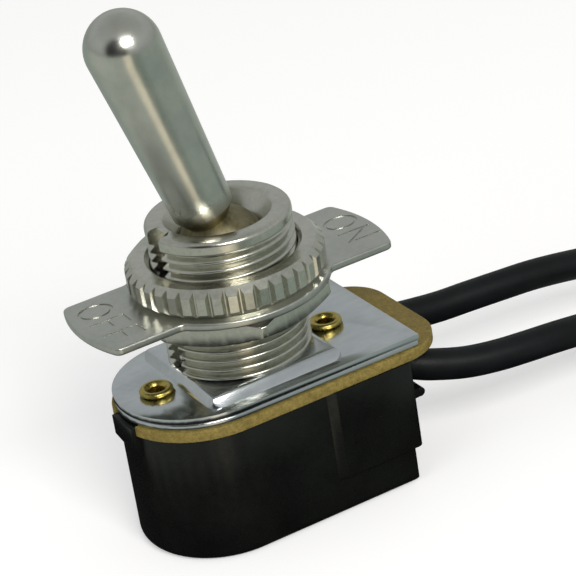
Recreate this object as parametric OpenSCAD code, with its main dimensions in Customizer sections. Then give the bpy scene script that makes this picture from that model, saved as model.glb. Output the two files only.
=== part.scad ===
// Panel toggle switch with two leads: a bat lever in a threaded bushing, on a riveted sheet-metal frame
// over a moulded case. The origin is on the underside of the case, on the bushing's axis. +Z runs up the
// bushing, +X runs towards the leads, and the lever rests tilted towards -X, which is OFF.

/* [Case] */
// Length of the case at its foot, from the round end to the flat end
case_l = 22.2; // [21.6:0.1:23]
// Width of the case at its foot
case_w = 14.1; // [13.7:0.1:15.2]
// Height of the case without its lid plates
case_h = 11.45; // [11.1:0.05:13.4]
// Thickness of the case's side walls
case_wall = 1.35; // [1:0.05:1.6]
// Thickness of the case's floor
case_floor = 1.5; // [1.3:0.1:1.9]
// Radius round the case's lower edge
case_edge_r = 1.0; // [0.4:0.1:1.4]
// Radius of the case's upright corners at the lead end
case_corner_r = 0.6; // [0.3:0.1:1.2]
// How far the lead chamber stands out from the case's walls
chamber_proud = 0.45; // [0.2:0.05:0.6]
// Length of the lead chamber along the case
chamber_l = 8.1; // [6.7:0.1:9.5]
// Height of the lead chamber's lower ledge above the foot
chamber_z = 3.6; // [2:0.05:4.8]

/* [Lid plates] */
// Thickness of the fibre plate
fibre_t = 0.95; // [0.6:0.05:1.5]
// How far the fibre plate stands out past the flat end of the case
fibre_reach = 4.4; // [2.9:0.1:4.8]
// How far the fibre plate stands out past the case's sides
fibre_margin = 0.35; // [0.1:0.05:0.8]
// Radius of the fibre plate's two corners
fibre_corner_r = 4.2; // [2:0.1:5.8]
// Thickness of the under plate
under_t = 0.55; // [0.4:0.05:1]
// Thickness of the frame plate's sheet
frame_t = 0.55; // [0.4:0.05:0.8]
// How far the frame plate stands out past the case's sides and round end
frame_margin = 0.15; // [0.05:0.05:0.3]
// How far the frame plate stands out past the flat end of the case
frame_reach = 1.45; // [0.5:0.05:2.4]
// Width of the raised platform at its foot
platform_w = 12.4; // [12.4:0.1:12.9]
// How far the platform's sides lean in, from upright
platform_lean = 30; // [15:1:32]
// Radius along the platform's upper edges
platform_edge_r = 0.5; // [0.2:0.05:0.6]
// Height of the platform above the frame plate
platform_h = 0.95; // [0.7:0.05:1.4]

/* [Rivets] */
// Distance from each end of the case to its rivet
rivet_inset = 3.1; // [2.9:0.1:3.2]
// Diameter of a rivet's shank
rivet_d = 2.1; // [1.7:0.1:2.3]
// Diameter of a rivet's rolled head
rivet_head_d = 2.8; // [2.6:0.1:2.9]
// Height of a rivet's rolled head
rivet_head_h = 0.5; // [0.4:0.05:0.75]
// Wall of the tubular rivet
rivet_wall = 0.35; // [0.25:0.05:0.5]

/* [Bushing] */
// Diameter of the bushing over its thread
bushing_d = 11.9; // [11.6:0.1:12]
// Length of the bushing above the platform
bushing_l = 12.4; // [12.2:0.05:13.4]
// Chamfer at the bushing's top
bushing_chamfer = 0.4; // [0.2:0.05:0.6]
// Diameter of the countersunk mouth
mouth_d = 8.7; // [8.4:0.1:9.2]
// Width of the keyway
keyway_w = 1.9; // [1.4:0.1:2.3]
// Depth of the keyway
keyway_depth = 0.95; // [0.6:0.05:1.1]

/* [Nuts and plate] */
// Gap between the frame plate's top and the hex nut
hex_gap = 4.9; // [4.6:0.05:5]
// Width of the hex nut across its flats
hex_af = 14.3; // [13.8:0.1:15]
// Thickness of the hex nut
hex_h = 2.05; // [1.7:0.05:2.2]
// Thickness of the indicator plate
plate_t = 0.65; // [0.4:0.05:0.8]
// Diameter of the indicator plate's ring
plate_ring_d = 16.8; // [16.4:0.1:17.4]
// Span of the indicator plate over both wings
plate_span = 27.0; // [23:0.1:29]
// Width of the indicator plate's wings
plate_wing_w = 9.8; // [8.6:0.1:11]
// Radius of the wings' outer corners
wing_corner_r = 0.7; // [0.3:0.1:1.2]
// Radius of the hollow corners where the wings leave the ring
wing_root_r = 0.8; // [0.4:0.1:1.4]
// Diameter of the knurled nut over its teeth
knurl_d = 16.2; // [15.4:0.1:16.8]
// Thickness of the knurled nut
knurl_h = 2.6; // [2:0.1:2.7]
// Number of teeth on the knurled nut
knurl_teeth = 40; // [30:1:48]
// Depth of the knurled nut's teeth
knurl_depth = 0.45; // [0.2:0.05:0.6]
// Bevel round the knurled nut's two faces
knurl_bevel = 0.6; // [0.3:0.05:0.8]

/* [Lever] */
// Tilt of the lever at rest, and as far again when thrown over
lever_tilt = 15.75; // [12:0.25:16]
// Length of the lever from its pivot to its tip
lever_l = 22.9; // [19:0.1:25]
// Diameter of the lever at its round tip
lever_tip_d = 6.2; // [4.8:0.1:6.7]
// Diameter of the lever above its shoulder
lever_foot_d = 5.08; // [4.6:0.02:5.2]
// Diameter of the lever's ball
ball_d = 7.35; // [7.1:0.05:7.4]
// Cross pin that keeps the lever swinging in one plane
pin_d = 1.2; // [0.8:0.1:1.6]
// Diameter of the lever's tail
tail_d = 3.25; // [2.9:0.05:3.3]
// Length of the lever's tail below its pivot
tail_l = 13.0; // [12.5:0.1:13]

/* [Mechanism] */
// Diameter of the plunger's shank
plunger_d = 2.0; // [1.7:0.05:2.05]
// Diameter of the plunger's round head
plunger_head_d = 2.9; // [2.5:0.1:3.1]
// How far the plunger can be pushed up into the tail
plunger_travel = 0.6; // [0.3:0.05:0.6]
// Thickness of the plunger spring's wire
spring_wire_d = 0.3; // [0.2:0.05:0.35]
// Number of turns of the plunger spring
spring_turns = 6; // [4:0.5:8]
// Length of the rocker contact
rocker_l = 9.6; // [9.2:0.1:10]
// Width of the rocker contact
rocker_w = 2.9; // [2.5:0.1:3.1]
// Thickness of the rocker contact's strip
rocker_t = 0.4; // [0.3:0.05:0.45]
// How steeply the rocker's wings rise
rocker_wing_angle = 14; // [13:0.5:15]
// How far the rocker tips to each side of level
rocker_tip = 8; // [7:0.5:9]
// Thickness of the terminals' strip
strap_t = 0.5; // [0.4:0.05:0.6]
// Width of the terminals' strip
strap_w = 1.5; // [1.2:0.1:1.7]
// Diameter of the contact buttons
contact_d = 2.1; // [1.7:0.1:2.3]
// Thickness of the contact buttons
contact_t = 0.6; // [0.4:0.05:0.7]

/* [Leads] */
// Diameter of the leads over their insulation
lead_d = 2.7; // [2.3:0.1:2.7]
// Diameter of the stripped strands
core_d = 1.3; // [1:0.1:1.3]
// Length of the stripped free ends
strip_l = 8; // [5:0.5:10]
// Distance from the middle of the case to each lead
lead_side = 4.1; // [4:0.05:4.1]

/* [Fits] */
// Side gap of parts that run in each other
running_gap = 0.05; // [0.02:0.01:0.08]
// Gap between parts that meet or part as the lever moves
touch_gap = 0.08; // [0.05:0.01:0.15]
// Side gap of fixed parts that drop over each other
loose_gap = 0.1; // [0.05:0.05:0.2]

/* [Hidden] */

fine = 64;
small = 32;
cut = 1; // how far a cutting solid runs past the face that it cuts

// Levels of the stack, from the foot up
fibre_z = case_h;
under_z = fibre_z + fibre_t;
frame_z = under_z + under_t;
flange_top = frame_z + frame_t;
bushing_z = flange_top + platform_h;
hex_z = flange_top + hex_gap;
plate_z = hex_z + hex_h;
knurl_z = plate_z + plate_t;
bushing_top = bushing_z + bushing_l;

// Outline of the case, and where its rivets stand
case_r = case_w / 2;
round_x = -(case_l / 2 - case_r);
flat_x = case_l / 2;
chamber_x = flat_x + chamber_proud;
rivet_x = case_l / 2 - rivet_inset;

// Lever, ball and mouth
seat_drop = 3.35; // from the bushing's top down to the pivot
pivot_z = bushing_top - seat_drop;
ball_r = ball_d / 2;
socket_r = ball_r + running_gap;
lip_r = ball_r - 0.3;
lip_z = pivot_z + sqrt(socket_r * socket_r - lip_r * lip_r);
shoulder_s = 4.3; // from the pivot up to the widest part of the shoulder
neck_r = 1.8;
neck_s = sqrt(ball_r * ball_r - neck_r * neck_r);
tip_r = lever_tip_d / 2;
tail_r = tail_d / 2;
swing = tan(lever_tilt);
spigot_wall = 0.45;
flange_drop = 0.35; // the swaged rim under the platform
bore_foot_z = bushing_z - frame_t - flange_drop;
bore_foot_r = (pivot_z - bore_foot_z) * swing + tail_r / cos(lever_tilt) + loose_gap;
spigot_r = bore_foot_r + spigot_wall;
pin_reach = socket_r + 0.6; // from the pivot to the pin's end
socket_z = pivot_z - 1.7; // where the bore's taper ends and the ball's socket starts

// Plunger, in the lever's own frame: distances run down the tail from the pivot
tail_bore_r = plunger_d / 2 + running_gap;
plunger_head_s = tail_l + plunger_travel;
plunger_head_r = plunger_head_d / 2;
plunger_head_l = 1.9;
plunger_shank_l = 2.6;
plunger_top_s = plunger_head_s - plunger_shank_l;
plunger_tip_s = plunger_head_s + plunger_head_l + plunger_head_r;
tail_bore_s = 6.1; // where the blind bore ends
spring_gap = 0.05;

// Rocker contact: its flat middle lies just under the plunger when the lever stands upright
rocker_top = pivot_z - plunger_tip_s - touch_gap;
trunnion_r = 0.35;
rocker_pivot_z = rocker_top - rocker_t;
rocker_flat = 1.15; // half of the flat middle
contact_x = 3.9;

// Inner height at which a wing's underside meets the stop or the closed contact
wing_net = rocker_wing_angle - rocker_tip;
bend_x = rocker_flat + rocker_t * tan(rocker_wing_angle / 2);
wing_low_z = rocker_pivot_z - bend_x * sin(rocker_tip) + (contact_x - bend_x) * tan(wing_net);
contact_seat_z = wing_low_z - contact_t - contact_d / 2 * sin(wing_net) - touch_gap;
fixed_pad_z = contact_seat_z - contact_t;
stop_top = wing_low_z - touch_gap - 0.12;

// Leads: height of their middle where they leave the case, and where the crimps hold them
lead_r = lead_d / 2;
lead_z = case_h - lead_r - 0.4;
shelf_z = lead_z - lead_r - 0.5;
shelf_t = 0.8;
shelf_reach = 1.6;
crimp_x = 3.4;
crimp_l = 3.1;
lead_start_x = crimp_x + crimp_l + 0.4;
core_r = core_d / 2;
crimp_bore_r = core_r + 0.02;
crimp_r = crimp_bore_r + 0.4;

// Routes of the two leads, from the crimp inside the case to the stripped end
lead_front_route = [[6.9, -4.1, 9.7], [9.5, -4.1, 9.7], [12, -4.1, 9.7], [14.5, -5.0, 9.0],
    [17.3, -5.8, 8.4], [20.1, -6.3, 8.1], [22.9, -6.5, 7.9], [26.7, -6.4, 7.5], [30.6, -5.9, 6.7],
    [34.4, -5.1, 5.3], [38.2, -4.0, 3.6], [42, -2.9, 2.3], [47.8, -1.8, 1.8], [54.5, -1.45, 1.8],
    [61, -1.9, 1.6], [68, -3.6, 1.4], [75, -6.2, 1.4], [81, -8.0, 1.4], [88, -8.4, 1.4],
    [92.4, -7.2, 1.4], [95.3, -4.2, 1.4], [96.4, 0, 1.4], [95.3, 4.2, 1.4], [92.4, 7.2, 1.4],
    [88, 8.4, 1.4], [81, 8.0, 1.4], [75, 6.2, 1.4], [68, 3.6, 1.4], [61, 1.9, 1.6],
    [54.5, 1.45, 1.8], [48.5, 1.6, 1.6]];
lead_rear_route = [[6.9, 4.1, 9.7], [9.5, 4.1, 9.7], [12, 4.1, 9.7], [15.3, 4.0, 9.3],
    [20.5, 3.8, 8.7], [23.9, 3.6, 8.6], [27.2, 3.4, 8.5], [30.6, 3.3, 8.3], [34.4, 3.2, 7.8],
    [38.2, 3.1, 7.1], [42, 2.7, 6.1], [47.8, 1.9, 5.0], [54.5, 1.45, 4.6], [61, 1.9, 4.5],
    [68, 3.6, 4.2], [75, 6.2, 4.2], [81, 8.0, 4.2], [88, 8.4, 4.2], [92.4, 7.2, 4.2],
    [95.3, 4.2, 4.2], [96.4, 0, 4.2], [95.3, -4.2, 4.2], [92.4, -7.2, 4.2], [88, -8.4, 4.2],
    [81, -8.0, 4.2], [75, -6.2, 4.2], [68, -3.6, 4.2], [61, -1.9, 4.5], [54.5, -1.45, 4.6],
    [49.5, -1.6, 4.7]];

// Tie round the four lengths of lead
tie_x = 54.5;
tie_w = 3.0;
tie_t = 0.4;
tie_low = 1.8 - lead_r; // undersides of the lower leads, where they run through the tie
tie_high = 4.6 + lead_r;
tie_side = 1.45 + lead_r;

// A flat shape with one round end at -X and two rounded corners at +X
module d_outline(left_x, half_w, right_x, corner_r) {
    translate([left_x, 0]) circle(r = half_w, $fn = fine);
    translate([left_x, -half_w]) square([right_x - corner_r - left_x, 2 * half_w]);
    translate([left_x, -(half_w - corner_r)]) square([right_x - left_x, 2 * (half_w - corner_r)]);
    for (side = [-1, 1])
        translate([right_x - corner_r, side * (half_w - corner_r)]) circle(r = corner_r, $fn = small);
}

module at_rivets() {
    for (side = [-1, 1]) translate([side * rivet_x, 0, 0]) children();
}

// Puts something built round the lever's own axis, with its pivot at the origin, at the rest tilt
module on_lever() {
    translate([0, 0, pivot_z]) rotate([0, -lever_tilt, 0]) children();
}

// Puts something built level, with the rocker's pivot at the origin, at the rest tilt
module on_rocker() {
    translate([0, 0, rocker_pivot_z]) rotate([0, rocker_tip, 0]) children();
}

// ---- Case ----

post_r = rivet_d / 2 + 1.1;
rivet_hole_r = rivet_d / 2 + loose_gap / 2;
clinch_r = rivet_d / 2 + 0.8; // counterbore for the rivet's lower rim
clinch_h = 0.9;
lug_w = 3.4;
lug_out = 0.4;
lug_in = 0.7; // how far the lug reaches in from the case's round end
lug_top = under_z - 0.25;
lug_foot = case_h - 2.0;
ramp_l = 0.7; // length of the slope from the case's side to the chamber's side
shelf_w = 11.8;

module case_block() {
    foot_r = case_r - case_edge_r;
    intersection() {
        linear_extrude(case_h) d_outline(round_x, case_r, flat_x, case_corner_r);
        union() {
            translate([round_x, 0, 0]) rotate_extrude($fn = fine) {
                translate([0, case_edge_r]) square([case_r, case_h]);
                square([foot_r, case_h]);
                translate([foot_r, case_edge_r]) circle(r = case_edge_r, $fn = small);
            }
            translate([round_x, 0, 0]) intersection() {
                rotate([90, 0, 90]) linear_extrude(case_l) rounded_foot(-case_r, case_r);
                translate([0, case_w, 0]) rotate([90, 0, 0]) linear_extrude(2 * case_w)
                    rounded_foot(-case_r, flat_x - round_x);
            }
        }
    }
}

// Section with two rounded lower corners
module rounded_foot(low, high) {
    r = case_edge_r;
    translate([low, r]) square([high - low, case_h]);
    translate([low + r, 0]) square([high - low - 2 * r, case_h]);
    for (x = [low + r, high - r]) translate([x, r]) circle(r = r, $fn = small);
}

// The part of the case that stands out round the leads
module lead_chamber() {
    start_x = chamber_x - chamber_l;
    side_y = case_r + chamber_proud;
    end_x = chamber_x - case_corner_r;
    translate([0, 0, chamber_z]) linear_extrude(case_h - chamber_z) {
        for (side = [-1, 1]) {
            polygon([[start_x, 0], [start_x, side * case_r], [start_x + ramp_l, side * side_y],
                [end_x, side * side_y], [end_x, 0]]);
            translate([end_x, side * (side_y - case_corner_r)]) circle(r = case_corner_r, $fn = small);
        }
        translate([start_x, case_corner_r - side_y]) square([chamber_l, 2 * (side_y - case_corner_r)]);
    }
}

// Key at the round end that the fibre plate's notch fits over
module case_lug() {
    round_end = -case_l / 2;
    translate([0, lug_w / 2, 0]) rotate([90, 0, 0]) linear_extrude(lug_w)
        polygon([[round_end + lug_in, lug_foot], [round_end + 0.1, lug_foot],
            [round_end - lug_out, lug_foot + 1], [round_end - lug_out, lug_top],
            [round_end + lug_in, lug_top]]);
}

// Lip below the leads
module lead_shelf() {
    lip_r = shelf_t / 2;
    translate([0, shelf_w / 2, 0]) rotate([90, 0, 0]) linear_extrude(shelf_w) {
        translate([flat_x - 0.2, shelf_z - shelf_t]) square([chamber_proud + shelf_reach - lip_r, shelf_t]);
        translate([chamber_x + shelf_reach - lip_r, shelf_z - lip_r]) circle(r = lip_r, $fn = small);
    }
}

module case() color("#141614") {
    stop_r = 0.9;
    difference() {
        union() {
            difference() {
                union() {
                    case_block();
                    lead_chamber();
                    case_lug();
                    lead_shelf();
                }
                translate([0, 0, case_floor]) linear_extrude(case_h)
                    d_outline(round_x, case_r - case_wall, flat_x - case_wall, case_corner_r);
            }
            intersection() {
                case_block();
                at_rivets() cylinder(r = post_r, h = case_h, $fn = small);
            }
            translate([contact_x, 0, 0]) cylinder(r = stop_r, h = stop_top, $fn = small);
        }
        at_rivets() translate([0, 0, -cut]) cylinder(r = rivet_hole_r, h = case_h + 2 * cut, $fn = small);
        at_rivets() translate([0, 0, -cut]) cylinder(r = clinch_r, h = clinch_h + cut, $fn = small);
        for (side = [-1, 1]) translate([flat_x - case_wall - cut, side * lead_side, lead_z]) {
            rotate([0, 90, 0]) cylinder(r = lead_r + loose_gap, h = case_wall + 3 * cut, $fn = small);
            translate([0, -lead_r - loose_gap, 0]) cube([case_wall + 3 * cut, 2 * (lead_r + loose_gap), case_h]);
        }
    }
}

// ---- Lid plates ----

window_l = 2 * ((pivot_z - fibre_z) * swing + tail_r / cos(lever_tilt) + 3 * loose_gap);
window_w = tail_d + 4 * loose_gap;

module fibre_plate() color("#7c6c2c") {
    reach_x = flat_x + fibre_reach;
    translate([0, 0, fibre_z]) linear_extrude(fibre_t) difference() {
        d_outline(round_x, case_r + fibre_margin, reach_x, fibre_corner_r);
        at_rivets() circle(r = rivet_hole_r, $fn = small);
        square([window_l, window_w], center = true);
        translate([-case_l / 2 - cut, -lug_w / 2 - loose_gap])
            square([lug_in + cut + loose_gap, lug_w + 2 * loose_gap]);
    }
}

platform_foot = platform_w / 2;
platform_inset = 0.7; // level distance from the platform's foot to its hollow
platform_hollow = 2 * (platform_foot - platform_inset);

module frame_outline(inset) {
    r = case_r + frame_margin - inset;
    end_x = flat_x + frame_reach - inset;
    translate([round_x, 0]) circle(r = r, $fn = fine);
    translate([round_x, -r]) square([end_x - round_x, 2 * r]);
}

module under_plate() color("#9aa2a6") {
    translate([0, 0, under_z]) linear_extrude(under_t) difference() {
        frame_outline(0.05);
        at_rivets() circle(r = rivet_hole_r, $fn = small);
        square([platform_hollow, platform_hollow], center = true);
    }
}

// Side view of a block from z0 up, whose sides lean in from z1 to a top at z2 with rounded edges
module leaning_side(foot, z0, z1, z2, edge_r) {
    steps = 5;
    tangent_z = z2 - edge_r + edge_r * sin(platform_lean);
    middle = foot - (tangent_z - z1) * tan(platform_lean) - edge_r * cos(platform_lean);
    edge = [for (i = [0:steps]) let (a = platform_lean + (90 - platform_lean) * i / steps)
        [middle + edge_r * cos(a), z2 - edge_r + edge_r * sin(a)]];
    polygon(concat([[-foot, z0], [foot, z0], [foot, z1]], edge,
        [for (i = [steps:-1:0]) [-edge[i][0], edge[i][1]]], [[-foot, z1]]));
}

module platform_block(foot, z0, z1, z2, edge_r, corner_r) {
    intersection() {
        translate([0, foot, 0]) rotate([90, 0, 0]) linear_extrude(2 * foot)
            leaning_side(foot, z0, z1, z2, edge_r);
        translate([-foot, 0, 0]) rotate([90, 0, 90]) linear_extrude(2 * foot)
            leaning_side(foot, z0, z1, z2, edge_r);
        translate([0, 0, z0]) linear_extrude(z2 - z0) {
            square([2 * foot, 2 * (foot - corner_r)], center = true);
            square([2 * (foot - corner_r), 2 * foot], center = true);
            for (x = [-1, 1], y = [-1, 1])
                translate([x, y] * (foot - corner_r)) circle(r = corner_r, $fn = small);
        }
    }
}

module frame_plate() color("#a2aab0") {
    rebate_h = 0.12; // sheared lower edge
    rebate = 0.12;
    bend_r = 1.0;
    difference() {
        union() {
            translate([0, 0, frame_z]) linear_extrude(frame_t) frame_outline(rebate);
            translate([0, 0, frame_z + rebate_h]) linear_extrude(frame_t - rebate_h) frame_outline(0);
            platform_block(platform_foot, frame_z, flange_top, bushing_z, platform_edge_r, bend_r);
        }
        translate([0, 0, frame_z - cut]) linear_extrude(bushing_z - frame_t - frame_z + cut)
            square([platform_hollow, platform_hollow], center = true);
        translate([0, 0, frame_z]) cylinder(r = spigot_r + loose_gap / 2, h = platform_h + cut, $fn = fine);
        at_rivets() translate([0, 0, frame_z - cut])
            cylinder(r = rivet_hole_r, h = frame_t + 2 * cut, $fn = small);
    }
}

// ---- Rivets ----

// Tubular rivet from the frame plate's top down through the case, rolled over at both ends
module rivet() {
    bore_r = rivet_d / 2 - rivet_wall;
    head_r = rivet_head_d / 2;
    roll_r = rivet_head_h / 2;
    rim_z = clinch_h - 0.4;
    rotate_extrude($fn = small) difference() {
        union() {
            translate([bore_r, rim_z]) square([rivet_wall, flange_top - rim_z + roll_r]);
            translate([bore_r, flange_top]) square([head_r - roll_r - bore_r, rivet_head_h]);
            translate([head_r - roll_r, flange_top + roll_r]) circle(r = roll_r, $fn = small);
            translate([bore_r, rim_z]) square([clinch_r - 0.3 - bore_r, clinch_h - rim_z]);
        }
        polygon([[bore_r - 0.1, flange_top + 0.1], [bore_r - 0.1, flange_top + rivet_head_h + 0.1],
            [bore_r + 0.35, flange_top + rivet_head_h + 0.1]]);
    }
}

module rivet_off_end() color("#8a7d30") translate([-rivet_x, 0, 0]) rivet();

module rivet_wire_end() color("#8a7d30") translate([rivet_x, 0, 0]) rivet();

// ---- Bushing, nuts and plate ----

bushing_r = bushing_d / 2;
nut_bore_r = bushing_r + running_gap;

module bushing() color("#9c9f94") {
    rim_r = spigot_r + 0.25;
    lip_cone_z = lip_z - 0.05;
    pin_slot_r = pin_d / 2 + running_gap;
    root_h = 0.56;
    root_depth = 0.2;
    difference() {
        union() {
            translate([0, 0, bushing_z]) cylinder(r = bushing_r, h = bushing_l - bushing_chamfer, $fn = fine);
            translate([0, 0, bushing_top - bushing_chamfer])
                cylinder(r1 = bushing_r, r2 = bushing_r - bushing_chamfer, h = bushing_chamfer, $fn = fine);
            translate([0, 0, bore_foot_z]) cylinder(r = spigot_r, h = bushing_z - bore_foot_z, $fn = fine);
            translate([0, 0, bore_foot_z]) cylinder(r = rim_r, h = flange_drop, $fn = fine);
        }
        translate([0, 0, bore_foot_z - cut]) cylinder(r = bore_foot_r, h = cut, $fn = fine);
        translate([0, 0, bore_foot_z])
            cylinder(r1 = bore_foot_r, r2 = socket_r, h = socket_z - bore_foot_z, $fn = fine);
        translate([0, 0, socket_z]) cylinder(r = socket_r, h = pivot_z - socket_z, $fn = fine);
        translate([0, 0, pivot_z]) sphere(r = socket_r, $fn = fine);
        translate([0, 0, lip_cone_z]) cylinder(r = lip_r, h = 0.1, $fn = fine);
        translate([0, 0, lip_z])
            cylinder(r1 = lip_r, r2 = mouth_d / 2, h = bushing_top - lip_z, $fn = fine);
        translate([0, 0, bushing_top]) cylinder(r = mouth_d / 2, h = cut, $fn = fine);
        translate([-bushing_r - cut, -keyway_w / 2, bushing_z])
            cube([keyway_depth + cut, keyway_w, bushing_l + cut]);
        // slots that the cross pin slides up into
        translate([0, 0, pivot_z]) rotate([90, 0, 0])
            cylinder(r = pin_slot_r, h = 2 * (pin_reach + loose_gap), center = true, $fn = small);
        translate([-pin_slot_r, -pin_reach - loose_gap, bore_foot_z])
            cube([2 * pin_slot_r, 2 * (pin_reach + loose_gap), pivot_z - bore_foot_z]);
        // one turn's root, where the thread comes out of the knurled nut
        translate([0, 0, knurl_z + knurl_h + loose_gap / 2 - root_h]) difference() {
            cylinder(r = bushing_r + cut, h = root_h, $fn = fine);
            cylinder(r = bushing_r - root_depth, h = root_h, $fn = fine);
        }
    }
}

module hex_nut() color("#9c9f94") {
    hex_r = hex_af / 2 / cos(30);
    corner_r = hex_r - 0.12; // the corners are turned down a little
    drop = (corner_r - hex_af / 2) * tan(30);
    translate([0, 0, hex_z]) difference() {
        intersection() {
            rotate([0, 0, 20]) cylinder(r = hex_r, h = hex_h, $fn = 6);
            rotate_extrude($fn = fine) polygon([[0, 0], [hex_af / 2 - 0.05, 0], [corner_r, drop],
                [corner_r, hex_h - drop], [hex_af / 2 - 0.05, hex_h], [0, hex_h]]);
        }
        translate([0, 0, -cut]) cylinder(r = nut_bore_r, h = hex_h + 2 * cut, $fn = fine);
    }
}

// Both wings in one: their ends lie on one circle, and their corners are rounded into it
module wings() {
    end_r = plate_span / 2;
    corner_y = plate_wing_w / 2 - wing_corner_r;
    corner_x = sqrt(pow(end_r - wing_corner_r, 2) - corner_y * corner_y);
    intersection() {
        circle(r = end_r, $fn = 2 * fine);
        square([plate_span + cut, 2 * corner_y * end_r / (end_r - wing_corner_r)], center = true);
    }
    square([2 * corner_x, plate_wing_w], center = true);
    for (x = [-1, 1], y = [-1, 1]) translate([x * corner_x, y * corner_y]) circle(r = wing_corner_r, $fn = small);
}

// Hollow corner between a wing's long edge and the ring
module wing_root(x, y) {
    ring_r = plate_ring_d / 2;
    middle_y = plate_wing_w / 2 + wing_root_r;
    middle_x = sqrt(pow(ring_r + wing_root_r, 2) - middle_y * middle_y);
    inside = (ring_r - loose_gap) / (ring_r + wing_root_r);
    on_wing = [x * middle_x, y * (plate_wing_w / 2 - loose_gap)];
    on_ring = [x * middle_x, y * middle_y] * inside;
    difference() {
        polygon(x * y > 0 ? [[0, 0], on_wing, [x * middle_x, y * middle_y], on_ring]
            : [[0, 0], on_ring, [x * middle_x, y * middle_y], on_wing]);
        translate([x * middle_x, y * middle_y]) circle(r = wing_root_r, $fn = small);
    }
}

module indicator_plate() color("#a5a79c") {
    tab_w = keyway_w - 2 * loose_gap;
    hole_r = bushing_r + loose_gap;
    tab_r = bushing_r - keyway_depth + loose_gap;
    translate([0, 0, plate_z]) linear_extrude(plate_t) {
        difference() {
            union() {
                circle(d = plate_ring_d, $fn = fine);
                wings();
                for (x = [-1, 1], y = [-1, 1]) wing_root(x, y);
            }
            circle(r = hole_r, $fn = fine);
        }
        translate([-hole_r - 0.3, -tab_w / 2]) square([hole_r + 0.3 - tab_r, tab_w]);
    }
}

// One flank, tip and gap of each tooth, all round the nut
knurl_outline = [for (i = [0:knurl_teeth - 1], p = [[0, 1], [0.5, 1], [0.7, 0], [0.8, 0]])
    let (a = (i + p[0]) * 360 / knurl_teeth, r = knurl_d / 2 - (1 - p[1]) * knurl_depth)
        [r * cos(a), r * sin(a)]];

module knurled_nut() color("#a5a79c") {
    r = knurl_d / 2;
    bevel = knurl_bevel;
    sink = 0.35; // widening of the bore at the top
    translate([0, 0, knurl_z]) difference() {
        intersection() {
            linear_extrude(knurl_h) polygon(knurl_outline);
            rotate_extrude($fn = fine) polygon([[0, 0], [r - bevel, 0], [r, bevel],
                [r, knurl_h - bevel], [r - bevel, knurl_h], [0, knurl_h]]);
        }
        translate([0, 0, -cut]) cylinder(r = nut_bore_r, h = knurl_h + 2 * cut, $fn = fine);
        translate([0, 0, knurl_h - sink])
            cylinder(r1 = nut_bore_r, r2 = nut_bore_r + sink, h = sink, $fn = fine);
        translate([0, 0, knurl_h]) cylinder(r = nut_bore_r + sink, h = cut, $fn = fine);
    }
}

// ---- Lever ----

module lever() color("#9b9d94") on_lever() {
    tip_s = lever_l - tip_r;
    difference() {
        union() {
            sphere(r = ball_r, $fn = fine);
            rotate_extrude($fn = fine) polygon([[0, neck_s - 1], [neck_r, neck_s],
                [lever_foot_d / 2 - 0.15, shoulder_s - 0.2], [lever_foot_d / 2, shoulder_s],
                [tip_r, tip_s], [0, tip_s]]);
            translate([0, 0, tip_s]) sphere(r = tip_r, $fn = fine);
            translate([0, 0, -tail_l]) cylinder(r = tail_r, h = tail_l - 1, $fn = small);
            rotate([90, 0, 0]) cylinder(d = pin_d, h = 2 * pin_reach, center = true, $fn = small);
        }
        translate([0, 0, -tail_l - cut])
            cylinder(r = tail_bore_r, h = tail_l - tail_bore_s + cut, $fn = small);
    }
}

// ---- Plunger and spring ----

module plunger() color("#e4e0d2") on_lever() {
    translate([0, 0, -plunger_head_s]) cylinder(d = plunger_d, h = plunger_shank_l, $fn = small);
    translate([0, 0, -plunger_head_s - plunger_head_l])
        cylinder(r = plunger_head_r, h = plunger_head_l, $fn = small);
    translate([0, 0, -plunger_head_s - plunger_head_l]) sphere(r = plunger_head_r, $fn = small);
}

// Sweeps a round section along a line of points: the first and last rings close it
function ring_at(point, ahead, r, n) =
    let (d = ahead / norm(ahead), s0 = cross(d, [0, 0, 1]), s = s0 / norm(s0), u = cross(s, d))
        [for (k = [0:n - 1]) point + r * (cos(k * 360 / n) * s + sin(k * 360 / n) * u)];

module swept_tube(points, r, n) {
    last = len(points) - 1;
    rings = [for (i = [0:last])
        ring_at(points[i], points[min(i + 1, last)] - points[max(i - 1, 0)], r, n)];
    corners = [for (ring = rings, p = ring) p];
    sides = [for (i = [0:last - 1], k = [0:n - 1], half = [0, 1])
        let (a = i * n + k, b = i * n + (k + 1) % n)
            half == 0 ? [a, b, b + n] : [a, b + n, a + n]];
    polyhedron(corners, concat([[for (k = [n - 1:-1:0]) k]], sides, [[for (k = [0:n - 1]) last * n + k]]));
}

module plunger_spring() color("#b5b5b0") on_lever() {
    coil_r = tail_bore_r - spring_wire_d / 2 - spring_gap;
    low = -plunger_top_s + spring_wire_d / 2 + spring_gap;
    high = -tail_bore_s - spring_wire_d / 2 - spring_gap;
    steps = 12;
    count = round(spring_turns * steps);
    points = [for (i = [0:count])
        [coil_r * cos(i * 360 / steps), coil_r * sin(i * 360 / steps), low + (high - low) * i / count]];
    swept_tube(points, spring_wire_d / 2, 6);
}

// ---- Rocker and contacts ----

wing_rise = (rocker_l / 2 - rocker_flat) * tan(rocker_wing_angle);
wing_under = rocker_t / cos(rocker_wing_angle);
module rocker_contact() color("#b88a4a") on_rocker() {
    half = rocker_l / 2;
    translate([0, rocker_w / 2, rocker_t]) rotate([90, 0, 0]) linear_extrude(rocker_w)
        polygon([[-half, wing_rise], [-rocker_flat, 0], [rocker_flat, 0], [half, wing_rise],
            [half, wing_rise - wing_under], [bend_x, -rocker_t], [-bend_x, -rocker_t],
            [-half, wing_rise - wing_under]]);
    rotate([90, 0, 0]) cylinder(r = trunnion_r, h = rocker_w + 2 * (ear_gap + strap_t), center = true,
        $fn = small);
}

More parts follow.
